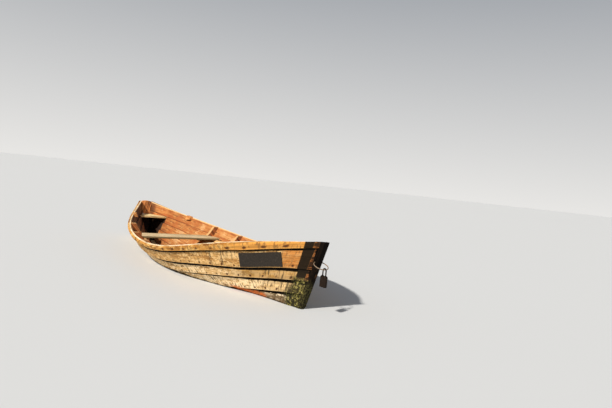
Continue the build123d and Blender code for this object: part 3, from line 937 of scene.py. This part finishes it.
def piece_finish(name, number, light, mid, dark, grain, edge=None, wear=0.4, bilge=0.45, inner=None):
    finish = Finish(name, Specular_IOR_Level=0.3)
    x, y, z = place_on_boat(finish)
    along = x * grain[0] + y * grain[1] + z * grain[2]
    across = x * (1.0 - grain[0]) + y * (1.0 - grain[1]) * 0.8 + z * (1.0 - grain[2]) * 0.6
    colour, rough, height = softwood(finish, along, across, number, light, mid, dark, wear)
    if inner is not None:
        # painted light: faces that look across are paler, and the sides that look fore and aft keep the darker
        # colours
        lengthwise = absolute(facing(finish)[0])
        colour = blend(step(lengthwise, 0.75, 0.55) * 0.8, colour, inner)
    colour = stained(colour, x, y, z, bilge)
    # painted shade under the stern seat
    colour = well_shade(finish, colour, x, z)
    # painted shade: the sides below the top are darker
    if edge is not None:
        colour = blend(step(z, edge, edge - 0.005) * 0.84, colour, thwart_side_shade)
    return finish.set(Base_Color=colour, Roughness=rough, Normal=bump(height, 0.0010, 0.8))


wood_table = {
    "rim_wood": (11.0, (0.95, 0.80, 0.58), (0.82, 0.62, 0.38), (0.45, 0.28, 0.13), (1, 0, 0),
                 dict(wear=0.8, bilge=0.0)),
    # the ribs' faces that look across get a paler painted light
    "rib_wood": (3.0, (0.56, 0.20, 0.060), (0.42, 0.135, 0.038), (0.20, 0.060, 0.018), (0, 0.7, 0.6),
                 dict(inner=(0.74, 0.44, 0.18))),
    "block_wood": (12.0, (0.80, 0.36, 0.110), (0.66, 0.26, 0.070), (0.36, 0.12, 0.030), (1, 0, 0), {}),
    "thwart_wood": (4.0, (0.82, 0.66, 0.42), (0.68, 0.50, 0.28), (0.36, 0.23, 0.10), (0, 1, 0),
                    dict(edge=thwart_top - 0.003)),
    "seat_wood": (13.0, (1.0, 0.84, 0.50), (0.96, 0.73, 0.37), (0.66, 0.44, 0.18), (0, 1, 0),
                  dict(wear=0.8, bilge=0.0)),
    "floor_wood": (5.0, (0.80, 0.48, 0.20), (0.64, 0.33, 0.115), (0.32, 0.14, 0.045), (1, 0, 0),
                   dict(wear=0.5, bilge=0.25)),
    "transom_wood": (6.0, (0.84, 0.38, 0.125), (0.60, 0.215, 0.060), (0.070, 0.024, 0.009), (0, 0, 1),
                     dict(wear=0.2)),
}
wood = {name: piece_finish(name, *row, **more) for name, (*row, more) in wood_table.items()}

for (k, side_name), board in planks.items():
    rim = wood["rim_wood"] if k == plank_count else inside_planks
    for material in (outside[k], inside_planks, rim, wood["rim_wood"]):
        board.data.materials.append(material)
for band in bands.values():
    for material in (band_wood, band_wood, band_wood, wood["rim_wood"]):
        band.data.materials.append(material)
print("wood laid on", len(planks) + len(bands), "boards")

# %% [markdown]
# The stem and keel are one dark backbone: oak, tarred again and again, black-brown where it holds and bare
# where gear has rubbed it. It is the softwood with nearly black colours, a green skin near the waterline and,
# on the keel's upward faces inside the boat, a pale painted light.

# %% Backbone
stem_rake = 0.41        # how far the stem's front falls back for each metre down
oak = dict(light=(0.011, 0.007, 0.004), mid=(0.005, 0.003, 0.002), dark=(0.003, 0.002, 0.0015))
bare_oak, skin_dark, skin_green = (0.22, 0.10, 0.040), (0.016, 0.014, 0.007), (0.090, 0.080, 0.026)
# pale colours painted as light on the keel's upward faces
keel_light_pale, keel_light_brown = (0.82, 0.62, 0.34), (0.46, 0.29, 0.12)


def backbone_finish():
    finish = Finish("tarred_oak", Specular_IOR_Level=0.05)
    x, y, z = place_on_boat(finish)
    along, across = z * 0.925 + x * 0.38, x * 0.925 - z * 0.38
    colour, rough, height = softwood(finish, along, across + y, 7.0, **oak)
    scuff = noise(point(x * 16.0, y * 16.0, z * 9.0), 5.0, 0.65)
    crust = noise(point(x * 75.0, y * 75.0, z * 75.0), 4.0, 0.65)
    behind_front = (length - midship) - x - (stem_head - z) * stem_rake
    rubbed = step(scuff + step(behind_front, 0.03, 0.0) * 0.05, 0.60, 0.70) * step(z, 0.22, 0.36)
    colour = blend(rubbed * 0.7, colour, bare_oak)
    green = step(z + (scuff - 0.5) * 0.16, 0.26, 0.14)
    skin = blend(step(crust, 0.46, 0.60), skin_dark, skin_green)
    colour = blend(green * 0.8, colour, skin)
    # painted light: the keel's upward faces ahead of the stern seat are pale
    forward_of_seat = step(x, seat_front, seat_front + 0.02) * step(x, 1.2, 1.0)
    lit_keel_top = step(facing(finish)[2], 0.7, 0.85) * forward_of_seat
    colour = blend(lit_keel_top * 0.9, colour, blend(step(scuff, 0.35, 0.65), keel_light_pale, keel_light_brown))
    height = height + scuff * 0.5 + green * crust * 1.2
    return finish.set(Base_Color=colour, Roughness=rough - 0.02, Normal=bump(height, 0.0012, 0.9))


wood["tarred_oak"] = backbone_finish()
print(len(wood), "woods")

# %% [markdown]
# Ring, lock, nails and plates are iron in different states: bright where the ring is rubbed, nearly black on
# the lock and the painted plates. A ramp over one noise, from bare metal through rust to bright rust, covers
# them all, and only its colours change.


# %% Iron
def iron_finish(name, rust, bare, metallic):
    finish = Finish(name, Metallic=metallic, Specular_IOR_Level=0.5 if metallic else 0.15)
    where = finish.add("ShaderNodeTexCoord", out="Object")
    scale = noise(where, 6.0, 0.65, 90.0)
    flake = noise(where, 4.0, 0.6, 320.0)
    stops = [(0.38, bare), (0.55, rust), (0.72, tuple(c * 1.8 for c in rust))]
    colour = finish.add("ShaderNodeValToRGB", {"stops": stops}, {0: scale})
    relief = bump(scale * 0.6 + flake * 0.4, 0.0005, 0.9)
    return finish.set(Base_Color=colour, Roughness=0.55 + scale * 0.3, Normal=relief)


# rust, bare metal, how metallic, and the pieces
iron_table = {
    "ring_iron": ((0.20, 0.12, 0.065), (0.34, 0.28, 0.21), 0.3, [iron_ring]),
    "lock_iron": ((0.016, 0.008, 0.004), (0.005, 0.004, 0.003), 0.0, [lock, lock_rivets]),
    "plate_metal": ((0.030, 0.024, 0.019), (0.022, 0.018, 0.014), 0.0, plates),
    "nail_iron": ((0.055, 0.026, 0.012), (0.020, 0.013, 0.009), 0.3, nails + plate_screws),
}
for name, (rust, bare, metallic, pieces) in iron_table.items():
    iron = iron_finish(name, rust, bare, metallic)
    for piece in pieces:
        piece.data.materials.append(iron)
print(len(iron_table), "states of iron")

# %% [markdown]
# The CAD model's solids are dressed where they are. Their edges are sharp as drawn, and real ones are worn,
# most on the thwarts. A bevel does that without touching the mesh, once the split corners are joined.

# %% Dress the CAD pieces
wood_of = {"tarred_oak": ("keel", "skeg", "stem_post"), "transom_wood": ("transom",),
           "floor_wood": ("floor_boards", "riser_port", "riser_starboard"),
           "thwart_wood": ("main_thwart", "forward_thwart"), "seat_wood": ("stern_seat", "stern_seat_peg"),
           "block_wood": ("breasthook", "oar_block_port", "oar_block_starboard")}
dressed = {name: wood[material] for material, names in wood_of.items() for name in names}
edge_wear = {"main_thwart": 0.006, "forward_thwart": 0.006, "stern_seat": 0.004, "floor_boards": 0.003,
             "stem_post": 0.004, "keel": 0.004, "transom": 0.003}
replaced = ("plank_", "rubbing_band_", "mooring_ring", "padlock")
kept = {name: piece for name, piece in node.items() if not name.startswith(replaced)}
for name, piece in kept.items():
    piece.data.materials.clear()
    piece.data.materials.append(dressed.get(name, wood["rib_wood"]))
    weld = piece.modifiers.new("joined corners", "WELD")
    weld.merge_threshold = 0.0001
    worn = piece.modifiers.new("worn edges", "BEVEL")
    worn.width = edge_wear.get(name, 0.0025)
    worn.segments = 2
    worn.limit_method = "ANGLE"
    worn.angle_limit = np.radians(40)
print(len(kept), "of", len(node), "CAD nodes dressed")

# %% [markdown]
# The boat stands in a plain studio, on a pale floor at the waterline. A boat afloat has its hull below the
# floor too, so the floor is cut out along the planking's waterline, and the boat's inside stays open down to
# its floor boards. A Boolean would do, but the boards' edge lines already say where the waterline runs.

# %% Floor with the boat's waterline cut out
floor_tuck = 0.006      # how far the cut lies inside the planking's outside
floor_half = 250.0
cut_narrowest = 0.016   # half breadth where the cut ends, fore and aft


def waterline(tuck):
    """Points (x, y) where the outside of the planking crosses the waterline, to port, drawn in by tuck."""
    outline = []
    for i in range(len(along_places)):
        for k in range(plank_count, 0, -1):
            (x0, y0, z0), (x1, y1, z1) = edge_lines[k][i]
            if z0 <= 0 < z1:
                share = -z0 / (z1 - z0)
                y = y0 + (y1 - y0) * share - tuck
                if y > cut_narrowest:
                    outline.append((x0 + (x1 - x0) * share, y))
                break
    return outline


port_line = waterline(floor_tuck)
hole = [Vector((x, y, 0)) for x, y in port_line] + [Vector((x, -y, 0)) for x, y in reversed(port_line)]
square = [Vector((x * floor_half, y * floor_half, 0)) for x, y in ((-1, -1), (1, -1), (1, 1), (-1, 1))]
floor_mesh = bpy.data.meshes.new("floor")
floor_mesh.from_pydata(square + hole, [], tessellate_polygon([square, hole]))
floor = bpy.data.objects.new("floor", floor_mesh)
bpy.context.scene.collection.objects.link(floor)
floor_finish = Finish("pale_floor", Roughness=0.9)
floor_finish.shader.inputs["Base Color"].default_value = (0.66, 0.68, 0.70, 1)
floor_mesh.materials.append(floor_finish.material)
print("waterline is", round(port_line[-1][0] - port_line[0][0], 2), "m long")

# %% [markdown]
# The light in the photograph is hard and comes from behind the camera, on its left. One sun lamp does that,
# three degrees wide for a soft edge. Pale air fills the shade, darker overhead to keep the inside deep.

# %% Light and colour
sun = bpy.data.objects.new("sun", bpy.data.lights.new("sun", "SUN"))
sun.data.energy = 4.5
sun.data.angle = np.radians(3)
sun.data.color = (1.0, 0.94, 0.85)
sun.rotation_euler = Vector((-0.32, 0.72, -0.61)).to_track_quat("-Z", "Y").to_euler()
bpy.context.scene.collection.objects.link(sun)
world = bpy.data.worlds.new("air")
world.use_nodes = True
air = world.node_tree
air_way = air.nodes.new("ShaderNodeTexCoord")
height_of = air.nodes.new("ShaderNodeSeparateXYZ")
air_ramp = air.nodes.new("ShaderNodeValToRGB")
air_stops = [(0.0, (0.80, 0.79, 0.77)), (0.35, (0.36, 0.38, 0.41)), (1.0, (0.10, 0.11, 0.13))]
Finish.set_stops(air_ramp.color_ramp, air_stops)
air.links.new(air_way.outputs["Generated"], height_of.inputs[0])
air.links.new(height_of.outputs[2], air_ramp.inputs[0])
air.links.new(air_ramp.outputs[0], air.nodes["Background"].inputs["Color"])
bpy.context.scene.world = world
bpy.context.scene.view_settings.view_transform = "Standard"
print("studio set")
